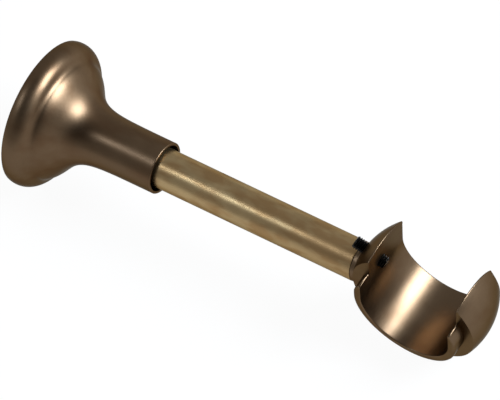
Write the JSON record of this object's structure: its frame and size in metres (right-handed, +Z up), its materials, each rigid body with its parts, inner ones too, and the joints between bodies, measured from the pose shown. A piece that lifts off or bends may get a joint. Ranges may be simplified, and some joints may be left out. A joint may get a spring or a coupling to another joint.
{
  "type": "curtain pole bracket",
  "caption": "Curtain pole bracket: turned cover rose, round stem and ball-shaped open pole cup with a black grub screw.",
  "frame": {"origin": "centre of the wall plate's back face, on the stem axis", "axes": "+Y into the wall, so the stem runs out along -Y; X along the curtain pole; +Z up"},
  "size_m": [0.0448, 0.1517, 0.0448],
  "materials": {
    "rose_bronze": "satin dark bronze plating",
    "stem_brass": "brushed antique brass",
    "cup_bronze": "satin bronze plating",
    "screw_black": "black oxide",
    "plate_steel": "zinc plated",
    "ring_nylon": "matt black nylon"
  },
  "bodies": {
    "bracket": {"wall_plate": "plate_steel", "plate_stud": "plate_steel", "stem_plug": "plate_steel", "stem_tube": "stem_brass", "cup_plug": "plate_steel", "cup_stud": "plate_steel", "pole_cup": "cup_bronze"},
    "rose": {"cover_rose": "rose_bronze", "rose_guide_ring": "ring_nylon"},
    "screw": {"pole_grub_screw": "screw_black"}
  },
  "joints": [
    {"name": "rose_slide", "type": "slide", "parent": "bracket", "child": "rose", "axis": [0, -1, 0], "range_m": [0, 0.066]},
    {"name": "screw_travel", "type": "slide", "parent": "bracket", "child": "screw", "axis": [0, -0.891, -0.454], "range_m": [-0.003, 0.0035]}
  ]
}
